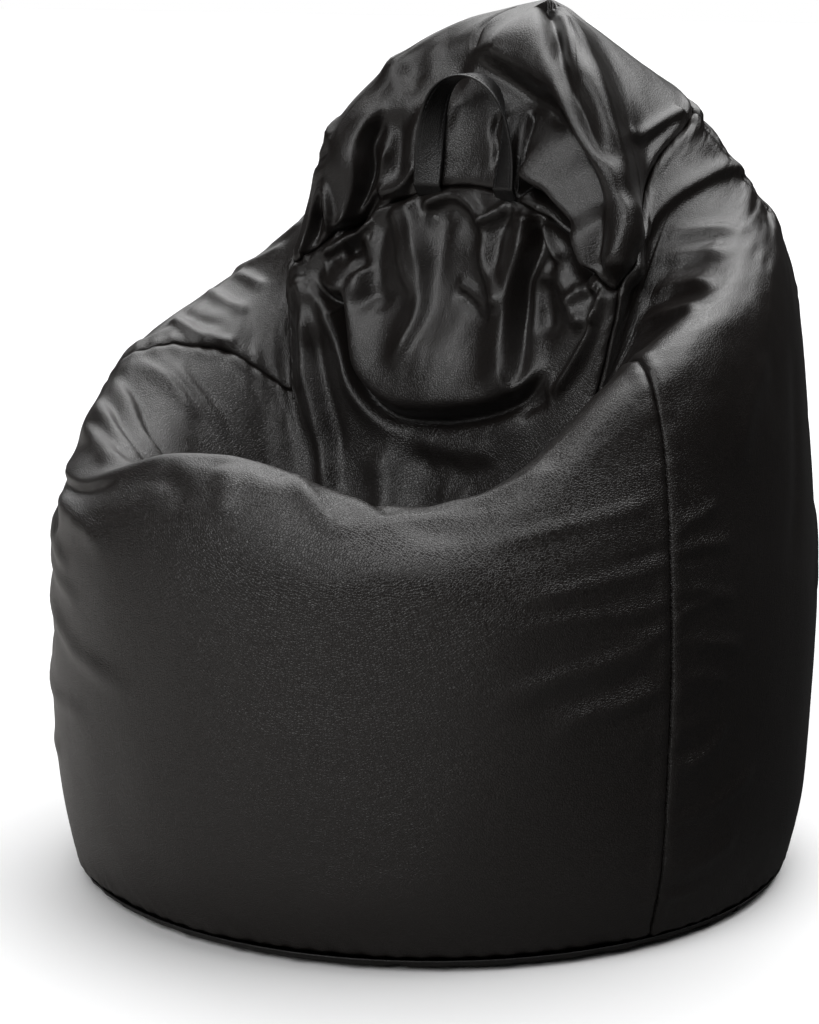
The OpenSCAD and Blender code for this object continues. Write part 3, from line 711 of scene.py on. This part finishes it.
DARK, LIGHT = (0.006, 0.0055, 0.0055), (0.010, 0.0095, 0.0095)
COVER = leather("cover_leather", (0.0098, 0.0074, 0.0064), (0.015, 0.013, 0.0122))
BASE_MAT = leather("base_leather", DARK, LIGHT, rough=(0.4, 0.5))
STRAP = leather("strap_leather", DARK, LIGHT, rough=(0.3, 0.4))
THREAD = plain("thread", (0.03, 0.03, 0.032), 0.55, scale=2500.0, kind="wave")
TAPE = plain("zip_tape_cloth", (0.02, 0.02, 0.021), 0.8, scale=1400.0, bump=0.4, kind="wave")
NYLON = plain("zip_nylon", (0.03, 0.03, 0.032), 0.35, scale=420.0, bump=0.9, dist=0.0006,
              kind="wave")
METAL = plain("zip_metal", (0.05, 0.05, 0.055), 0.3, metal=0.9, scale=300.0, bump=0.05)
NICKEL = plain("liner_zip_metal", (0.6, 0.6, 0.62), 0.3, metal=1.0, scale=300.0, bump=0.05)
LINER = plain("liner_cloth", (0.82, 0.81, 0.78), 0.85, scale=1100.0, bump=0.3, kind="wave")
BEADS = plain("beads", (0.92, 0.93, 0.94), 0.6, scale=260.0, bump=0.8, dist=0.002, kind="cells")


# ------------------------------------------------------------------
# Mesh helpers
# ------------------------------------------------------------------
COVER_CLOTH, LINER_CLOTH = 0.0013, 0.0006       # thicknesses in metres
BASE_CLOTH, TAIL_CLOTH = 0.0012, 0.002


def make(name, verts, faces, material, scale=MM, smooth=True):
    me = bpy.data.meshes.new(name)
    me.from_pydata((np.asarray(verts, float) * scale).tolist(), [], faces)
    me.validate()
    me.update()
    if smooth:
        me.polygons.foreach_set("use_smooth", [True] * len(me.polygons))
    me.materials.append(material)
    ob = bpy.data.objects.new(name, me)
    bpy.context.scene.collection.objects.link(ob)
    return ob


def quads(r, c, wrap=False):
    """The faces of a grid of r rows and c columns."""
    i = np.arange(r - 1)[:, None]
    j = np.arange(c if wrap else c - 1)[None, :]
    a = i * c + j
    b = i * c + (j + 1) % c
    return np.stack([a, b, b + c, a + c], -1).reshape(-1, 4)


def thicken(ob, t):
    """A cloth's thickness, inward from the faces."""
    m = ob.modifiers.new("cloth", "SOLIDIFY")
    m.thickness = t
    m.offset = -1.0
    m.use_rim = True


def body(ob, name):
    """Ride on the bag, in the place of a CAD node."""
    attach(ob, "bag")
    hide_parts(name)


def panel(name, c0, c1):
    """A gore of the cover, from the base seam to the crown seam."""
    cols = np.arange(c0, c1 + 1) % NC
    p = FORM[: SEAM_I + 1][:, cols]
    r, c = p.shape[:2]
    ob = make(name, p.reshape(-1, 3), quads(r, c).tolist(), COVER)
    thicken(ob, COVER_CLOTH)
    body(ob, name)


panel("front_panel", CUT[2], CUT[3])
panel("left_side_panel", CUT[3], CUT[4])
panel("right_side_panel", CUT[1], CUT[2])
panel("left_back_panel", CUT[4], CUT[5])
panel("right_back_panel", CUT[0], CUT[1])


def crown():
    """The hood above the crown seam, closed at the peak."""
    p = FORM[SEAM_I:-1]
    r, c = p.shape[:2]
    verts = np.vstack([p.reshape(-1, 3), FORM[-1, :1]])
    top = r * c
    faces = quads(r, c, True).tolist()
    faces += [[(r - 1) * c + j, (r - 1) * c + (j + 1) % c, top] for j in range(c)]
    ob = make("crown_cap", verts, faces, COVER)
    thicken(ob, COVER_CLOTH)
    body(ob, "crown_cap")


crown()


# The liner and the beads follow the folded cover from inside
SKIP = 4                            # they take every fourth row and column
LINER_DROP, BEAD_DROP = 5.5, 8.5    # millimetres inside the cover
LINER_LOW, BEAD_LOW, BEAD_FLOOR = 15.5, 16.0, 15.0
BACK_SEAM_REACH = 2


def inner(drop):
    """The cover's form pushed in under its deepest folds, and its columns."""
    rows = np.append(np.arange(0, NR - 1, SKIP), NR - 1)
    cols = np.arange(0, NC, SKIP)
    low = SHIFT.copy()
    for _ in range(SKIP + 2):
        low[1:] = np.minimum(low[1:], low[:-1])
        low[:-1] = np.minimum(low[:-1], low[1:])
        low = np.minimum(low, np.minimum(np.roll(low, 1, 1), np.roll(low, -1, 1)))
    low = np.minimum(low, 0)
    for _ in range(6):
        low = (low + np.roll(low, 1, 1) + np.roll(low, -1, 1)) / 3
        low[1:-1] = (low[1:-1] + low[2:] + low[:-2]) / 3
    p = BASE + (low - drop)[..., None] * NORMAL
    p[-1] = p[-1].mean(0)
    return p[np.ix_(rows, cols)], cols


def liners():
    p, cols = inner(LINER_DROP)
    p[..., 2] = np.maximum(p[..., 2], LINER_LOW)
    r, c = p.shape[:2]
    front = [k for k in range(c) if abs(turn(COLS[cols[k]], 0)) <= RS + BACK_SEAM_REACH]
    back = [k for k in range(c) if abs(turn(COLS[cols[k]], 180)) <= 180 - RS]
    back = [k for k in back if k > c / 2] + [k for k in back if k <= c / 2]
    back = [front[-1]] + [k for k in back if k not in front] + [front[0]]
    for name, pick in (("liner_front", front), ("liner_back", back)):
        q = p[: r - 1][:, pick]
        ob = make(name, q.reshape(-1, 3), quads(*q.shape[:2]).tolist(), LINER)
        thicken(ob, LINER_CLOTH)
        body(ob, name)


liners()


def filling():
    """The beads as one closed body with a faintly uneven skin."""
    p = inner(BEAD_DROP)[0][:-1]
    p[..., 2] = np.maximum(p[..., 2], BEAD_LOW)
    r, c = p.shape[:2]
    p += np.random.default_rng(8).normal(scale=0.25, size=p.shape)
    verts = np.vstack([p.reshape(-1, 3), [PEAK - (0, 0, 16)], [(0, 0, BEAD_FLOOR)]])
    n = r * c
    faces = quads(r, c, True).tolist()
    faces += [[(r - 1) * c + j, (r - 1) * c + (j + 1) % c, n] for j in range(c)]
    faces += [[(j + 1) % c, j, n + 1] for j in range(c)]
    ob = make("bead_filling", verts, faces, BEADS)
    body(ob, "bead_filling")


filling()


# ------------------------------------------------------------------
# Base: two half discs with a gathered margin, open along the zip
# ------------------------------------------------------------------
SLOT_X, SLOT_Y, HEM = 262.0, 8.0, 4.5
BASE_R, FLAT_R, GATHER_R = 398.5, 335, 395
GAP = 0.05                          # half the gap between the halves past the zip
TUCK_AT, TUCK_WIDE, TUCK_IN = 59, 0.8, 6.0      # the pinched place in the front margin
RING = np.array([0, 0.25, 0.5, 0.7, 0.8, 0.86, 0.885, 0.91, 0.93, 0.945, 0.955, 0.964,
                 0.972, 0.979, 0.985, 0.99, 0.9945, 0.998, 1.0])
PROFILE_R = [0, FLAT_R, 358, 374, 384, 390, 394, 396.6, 398.0, BASE_R]
PROFILE_Z = [0, 0, 0.3, 1.0, 2.2, 4.0, 6.4, 9.2, 11.6, 12.9]


def base_half(name, sign):
    """One half of the base: sign is -1 at the front and 1 at the back."""
    phi = np.radians(np.linspace(0, 180, 721))
    cx, sx = np.cos(phi), np.sin(phi)
    start_y = np.where(np.abs(BASE_R * cx) < SLOT_X, SLOT_Y, GAP)
    start = np.stack([BASE_R * cx, start_y], -1)
    rim = np.stack([BASE_R * cx, np.maximum(BASE_R * sx, GAP)], -1)
    start[:, 1] = np.minimum(start[:, 1], rim[:, 1])
    q = start[None] + RING[:, None, None] * (rim - start)[None]
    rad = np.hypot(q[..., 0], q[..., 1])
    z = np.interp(rad, PROFILE_R, PROFILE_Z)
    ang = np.arctan2(q[..., 1], q[..., 0])
    # gathers of the margin: they push in and out, and dip to the floor
    wave = (np.sin(ang * 61 + 2.4 * np.sin(ang * 9 + sign)) + 0.7 * np.sin(ang * 37 + 2 * sign)
            + 0.5 * np.sin(ang * 113 + sign))
    mid = np.exp(-(((z - 5.0) / 3.6) ** 2)) * np.clip((rad - 340) / 30, 0, 1)
    q *= (1 + wave * mid * 2.1 / GATHER_R)[..., None]
    z = z + 0.9 * wave * mid
    if sign < 0:
        tuck = np.exp(-((np.degrees(ang) - TUCK_AT) / TUCK_WIDE) ** 2)
        q *= (1 - TUCK_IN * tuck * mid / GATHER_R)[..., None]
    z = np.where(rad < FLAT_R, 0, np.maximum(z, 0))
    pts = np.concatenate([q, z[..., None]], -1)
    # the turned hem along the zip: up, then outward
    hem = []
    inside = np.abs(pts[0, :, 0]) < SLOT_X
    for up, out in ((HEM, 5.0), (HEM, 0.6), (2.4, 0.0)):
        h = pts[0].copy()
        h[:, 1] += np.where(inside, out, 0.0)
        h[:, 2] = np.where(inside, up, h[:, 2])
        hem.append(h)
    pts = np.concatenate([np.array(hem), pts])
    pts[..., 1] *= sign
    r, c = pts.shape[:2]
    f = quads(r, c)
    # the hem stops where the zip does, and faces without an area are dropped
    f = f[(f[:, 0] >= len(hem) * c) | (inside[f[:, 0] % c] & inside[f[:, 1] % c])]
    if sign < 0:
        f = f[:, ::-1]
    p0, p1, p2, p3 = np.moveaxis(pts.reshape(-1, 3)[f], 1, 0)
    f = f[np.linalg.norm(np.cross(p2 - p0, p3 - p1), axis=-1) > 0.01]
    used, f = np.unique(f, return_inverse=True)
    ob = make(name, pts.reshape(-1, 3)[used], f.reshape(-1, 4).tolist(), BASE_MAT)
    thicken(ob, BASE_CLOTH)
    body(ob, name)


base_half("base_panel_front", -1)
base_half("base_panel_back", 1)


# ------------------------------------------------------------------
# Carry handle
# ------------------------------------------------------------------
HINGE_Y, HINGE_Z, HANDLE_X = 54.0, 741.0, 4.0
SPAN, RISE, WIDE, THICK = 102.0, 122.0, 32.0, 3.0
HALF_THICK = THICK / 2
STRAP_STEPS = 150
ROOT_STEPS = 5                      # steps of each end that run down into the crown seam
ROOT_STEP = np.array([[0, 1.6, -2.6]])
STITCH_LINE = 0.74                  # the stitch rows, as a share of the half width
STITCH_STEP = 3
STITCH_RINGS = ((0, 0.16), (0.15, 0.36), (0.5, 0.4), (0.85, 0.36), (1, 0.16))
STITCH_SIDES = 6


def strap_frame(u):
    """Centre, across and face directions at angle u degrees along the loop."""
    def centre(v):
        s = np.sin(np.radians(v))
        s = np.clip(s, 0, 1)
        up = RISE * s**0.62
        w = SPAN / 2 + 6 * s
        return np.stack([HANDLE_X + w * np.cos(np.radians(v)),
                         HINGE_Y - 1 + 0.17 * up - 15 * s**1.5, HINGE_Z + 3 + up], -1)
    c = centre(u)
    t = centre(np.minimum(u + 1, 180)) - centre(np.maximum(u - 1, 0))
    t /= np.linalg.norm(t, axis=-1, keepdims=True)
    q = np.radians(14 + 74 * np.clip(np.sin(np.radians(u)), 0, 1) ** 0.8)
    sgn = np.clip(np.cos(np.radians(u)) * 12, -1, 1)
    w = np.stack([sgn * np.cos(q), -np.sin(q), 0 * q], -1)
    w -= t * np.einsum("ij,ij->i", w, t)[:, None]
    w /= np.linalg.norm(w, axis=-1, keepdims=True)
    return c, w, np.cross(t, w), t


def strap_line():
    """Points along the strap's middle, from one root to the other, with its directions."""
    fine = np.linspace(0, 180, 1500)
    c0 = strap_frame(fine)[0]
    run = np.concatenate([[0], np.cumsum(np.linalg.norm(np.diff(c0, axis=0), axis=1))])
    c, w, f, t = strap_frame(np.interp(np.linspace(0, run[-1], STRAP_STEPS), run, fine))
    k = np.arange(ROOT_STEPS, 0, -1)[:, None]
    c = np.vstack([c[0] + k * ROOT_STEP, c, c[-1] + k[::-1] * ROOT_STEP])
    w, f = (np.vstack([[v[0]] * ROOT_STEPS, v, [v[-1]] * ROOT_STEPS]) for v in (w, f))
    return c, w, f


def strap(c, w, f):
    """The strap: rounded edges, and two grooves where the stitches pull it in."""
    m = len(c)
    s = np.linspace(0, 1, m)
    across = np.linspace(-1, 1, 17)

    def thick(x, k):
        e = np.clip((1 - abs(x)) / 0.08, 0, 1) ** 0.5
        lines = 0.45 * math.exp(-(((abs(x) - STITCH_LINE) / 0.06) ** 2))
        return HALF_THICK * (0.35 + 0.65 * e) - lines + 0.12 * math.sin(x * 3 + k * 0.5)

    verts = []
    for i in range(m):
        wob = 0.6 * math.sin(s[i] * 21) * math.sin(math.pi * s[i])
        verts += [c[i] + w[i] * (x * WIDE / 2) + f[i] * (thick(x, i * 0.07) + wob)
                  for x in across]
        verts += [c[i] + w[i] * (x * WIDE / 2) - f[i] * (thick(x, i * 0.05 + 2) - wob)
                  for x in across[::-1]]
    k = 2 * len(across)
    faces = quads(m, k, True).tolist()
    faces.append(list(range(k))[::-1])
    faces.append(list(range((m - 1) * k, m * k)))
    return make("carry_handle", verts, faces, STRAP)


def stitches(c, w, f):
    """Two rows of stitches on each face of the strap."""
    verts, faces = [], []
    n = STITCH_SIDES
    lift = HALF_THICK - 0.05
    for edge in (-STITCH_LINE, STITCH_LINE):
        for face in (1, -1):
            for i in range(ROOT_STEPS, len(c) - ROOT_STEPS - STITCH_STEP, STITCH_STEP):
                a, b = (c[j] + w[j] * edge * WIDE / 2 + face * f[j] * lift
                        for j in (i, i + STITCH_STEP))
                a, b = a + (b - a) * 0.14, a + (b - a) * 0.86
                d = (b - a) / np.linalg.norm(b - a)
                x = w[i] - d * (w[i] @ d)
                x /= np.linalg.norm(x)
                y = np.cross(d, x)
                o = len(verts)
                for q, r in STITCH_RINGS:
                    for e in range(n):
                        g = 2 * math.pi * e / n
                        verts.append(a + (b - a) * q + r * (math.cos(g) * x + math.sin(g) * y))
                faces += (quads(len(STITCH_RINGS), n, True) + o).tolist()
                faces.append([o + e for e in range(n - 1, -1, -1)])
                faces.append([o + n * (len(STITCH_RINGS) - 1) + e for e in range(n)])
    return make("handle_stitching", verts, faces, THREAD)


def handle():
    line = strap_line()
    pieces = strap(*line), stitches(*line)
    for piece in pieces:
        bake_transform(piece)
    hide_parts("carry_handle")


handle()


# Strap tails inside the seam
TAIL_AT, TAIL_HALF, TAIL_IN = 15.9, 5, 6.0      # degrees, degrees, millimetres behind the cover
TAIL_ROWS, TAIL_COLS = np.linspace(12.02, 12.42, 10), 7


def strap_tail(name, middle):
    th = np.linspace(middle - TAIL_HALF, middle + TAIL_HALF, TAIL_COLS)
    pts = np.array([at(th, np.full(TAIL_COLS, t)) for t in TAIL_ROWS])
    pts[..., 1] += TAIL_IN
    ob = make(name, pts.reshape(-1, 3), quads(len(TAIL_ROWS), TAIL_COLS).tolist(), STRAP)
    thicken(ob, TAIL_CLOTH)
    body(ob, name)


strap_tail("handle_tail_left", TAIL_AT)
strap_tail("handle_tail_right", -TAIL_AT)


# ------------------------------------------------------------------
# CAD pieces that stay: their finishes
# ------------------------------------------------------------------
FINISH = {
    "zip_tape_front": TAPE, "zip_tape_back": TAPE,
    "zip_coil_front": NYLON, "zip_coil_back": NYLON,
    "zip_top_stop": METAL, "zip_bottom_stop": METAL, "zip_slider": METAL, "zip_pull": METAL,
    "liner_base": LINER, "liner_zip_tape_front": LINER, "liner_zip_tape_back": LINER,
    "liner_zip_coil_front": LINER, "liner_zip_coil_back": LINER, "liner_zip_slider": NICKEL,
}
for name, mat in FINISH.items():
    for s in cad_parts[name].material_slots:
        s.material = mat


# ------------------------------------------------------------------
# Floor, light, camera
# ------------------------------------------------------------------
FLOOR_REACH = 30
FLOOR_SEEN, FLOOR_THROWN, FLOOR_FAR = (0.92, 0.92, 0.923), (0.34, 0.33, 0.32), (0.03, 0.03, 0.03)
FLOOR_BRIGHT_WAY = (-0.5, -0.87, 0.0)       # what it throws fades away from this side


def stage_paint(name, seen, thrown, far):
    """White as the camera sees it, darker in what it throws on the leather."""
    m, nt, bsdf = new_material(name)
    nt.nodes.remove(bsdf)
    out = nt.nodes["Material Output"]
    path = node(nt, "ShaderNodeLightPath")
    co = node(nt, "ShaderNodeTexCoord")
    dot = node(nt, "ShaderNodeVectorMath", operation="DOT_PRODUCT")
    nt.links.new(co.outputs["Object"], dot.inputs[0])
    dot.inputs[1].default_value = FLOOR_BRIGHT_WAY
    side = node(nt, "ShaderNodeMapRange", interpolation_type="SMOOTHSTEP")
    side.inputs["From Min"].default_value = -0.5
    side.inputs["From Max"].default_value = 0.6
    nt.links.new(dot.outputs["Value"], side.inputs["Value"])
    cut = node(nt, "ShaderNodeMix", data_type="RGBA")
    cut.inputs["A"].default_value = (*far, 1)
    cut.inputs["B"].default_value = (*thrown, 1)
    nt.links.new(side.outputs[0], cut.inputs["Factor"])
    a = node(nt, "ShaderNodeBsdfDiffuse")
    nt.links.new(cut.outputs["Result"], a.inputs["Color"])
    b = node(nt, "ShaderNodeBsdfDiffuse", Color=(*seen, 1))
    mix = node(nt, "ShaderNodeMixShader")
    nt.links.new(path.outputs["Is Camera Ray"], mix.inputs[0])
    nt.links.new(a.outputs[0], mix.inputs[1])
    nt.links.new(b.outputs[0], mix.inputs[2])
    nt.links.new(mix.outputs[0], out.inputs["Surface"])
    return m


floor = make("floor", [(x * FLOOR_REACH, y * FLOOR_REACH, 0)
                       for x, y in ((-1, -1), (1, -1), (1, 1), (-1, 1))], [[0, 1, 2, 3]],
             stage_paint("floor_paint", FLOOR_SEEN, FLOOR_THROWN, FLOOR_FAR), scale=1.0,
             smooth=False)

# Soft boxes: the way to the middle, the cosines where it starts and is full, the light
# outside it and in it
TOP_BOX = ((-0.08, 0.36, 0.93), 0.81, 0.92, 0.0, 3.0)
BACK_BOX = ((-0.52, 0.60, 0.60), 0.84, 0.96, 0.0, 1.7)
SIDE_BOX = ((0.47, 0.16, 0.87), 0.92, 0.985, 0.0, 2.8)
FRONT_BOX = ((0.0, -0.74, 0.67), 0.88, 0.96, 0.0, 3.1)
FILL = ((-0.43, -0.83, -0.35), 0.70, 1.0, 0.03, 0.42)


def studio():
    """Soft boxes above, behind, at the right shoulder and in front, and a low fill."""
    world = bpy.data.worlds.new("studio")
    bpy.context.scene.world = world
    world.use_nodes = True
    nt = world.node_tree
    nt.nodes.clear()
    link = nt.links.new
    co = node(nt, "ShaderNodeTexCoord")
    total = None
    for way, *fits in (TOP_BOX, BACK_BOX, SIDE_BOX, FRONT_BOX, FILL):
        dot = node(nt, "ShaderNodeVectorMath", operation="DOT_PRODUCT")
        link(co.outputs["Generated"], dot.inputs[0])
        dot.inputs[1].default_value = Vector(way).normalized()
        fit = node(nt, "ShaderNodeMapRange", interpolation_type="SMOOTHSTEP")
        for k, v in zip(("From Min", "From Max", "To Min", "To Max"), fits):
            fit.inputs[k].default_value = v
        link(dot.outputs["Value"], fit.inputs["Value"])
        if total is None:
            total = fit
        else:
            both = node(nt, "ShaderNodeMath", operation="ADD")
            link(total.outputs[0], both.inputs[0])
            link(fit.outputs[0], both.inputs[1])
            total = both
    light = node(nt, "ShaderNodeBackground", Color=(1, 1, 1, 1))
    link(total.outputs[0], light.inputs["Strength"])
    white = node(nt, "ShaderNodeBackground", Color=(1, 1, 1, 1), Strength=1.0)
    path = node(nt, "ShaderNodeLightPath")
    mix = node(nt, "ShaderNodeMixShader")
    link(path.outputs["Is Camera Ray"], mix.inputs[0])
    link(light.outputs[0], mix.inputs[1])
    link(white.outputs[0], mix.inputs[2])
    out = node(nt, "ShaderNodeOutputWorld")
    link(mix.outputs[0], out.inputs["Surface"])


studio()
bpy.context.scene.view_settings.view_transform = "Standard"

AZ, DIST, CAM_H = math.radians(36), 3.0, 1.0028
LENS_MM, AIM_SIDE, AIM_H = 97.07, -0.0251, 0.3879
cam_data = bpy.data.cameras.new("camera")
cam_data.lens = LENS_MM
cam = bpy.data.objects.new("camera", cam_data)
bpy.context.scene.collection.objects.link(cam)
cam.location = (DIST * math.sin(AZ), -DIST * math.cos(AZ), CAM_H)
aim = Vector((AIM_SIDE * math.cos(AZ), AIM_SIDE * math.sin(AZ), AIM_H))
cam.rotation_mode = "QUATERNION"
cam.rotation_quaternion = (aim - cam.location).to_track_quat("-Z", "Y")
bpy.context.scene.camera = cam
